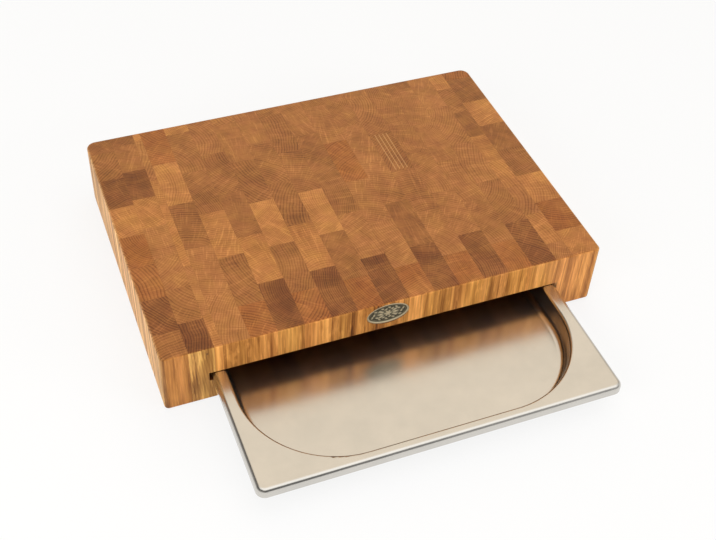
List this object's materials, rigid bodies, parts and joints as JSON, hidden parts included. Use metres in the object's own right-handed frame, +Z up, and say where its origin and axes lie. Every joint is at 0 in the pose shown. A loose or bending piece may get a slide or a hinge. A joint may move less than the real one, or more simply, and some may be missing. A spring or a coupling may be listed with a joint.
{
  "type": "chopping board with drawer tray",
  "caption": "Thick end-grain chopping board on side rails, with a shallow stainless steel tray that hangs in grooves under it and pulls out at the front.",
  "frame": {"origin": "on the table, under the middle of the board with its tray drawn out as in the picture", "axes": "+Z up, +X to the right along the board's front, -Y towards the user, the way the tray pulls out"},
  "size_m": [0.41, 0.4226, 0.064],
  "materials": {
    "oak": "oiled end grain",
    "stainless": "satin pressed sheet",
    "badge_metal": "dark patina, worn rim"
  },
  "bodies": {
    "board": {"left_rail_outer_strip": "oak", "left_rail_inner_strip": "oak", "right_rail_inner_strip": "oak", "right_rail_outer_strip": "oak", "back_rail": "oak", "slab_filler_strip": "oak", "slab_strip_01": "oak", "slab_strip_02": "oak", "slab_strip_03": "oak", "slab_strip_04": "oak", "slab_strip_05": "oak", "slab_strip_06": "oak", "slab_strip_07": "oak", "slab_strip_08": "oak", "slab_strip_09": "oak", "slab_strip_10": "oak", "slab_strip_11": "oak", "slab_strip_12": "oak", "slab_strip_13": "oak", "badge": "badge_metal"},
    "tray": {"tray": "stainless"}
  },
  "joints": [
    {"name": "tray_slide", "type": "slide", "parent": "board", "child": "tray", "axis": [0, -1, 0], "range_m": [-0.129, 0.138]}
  ]
}
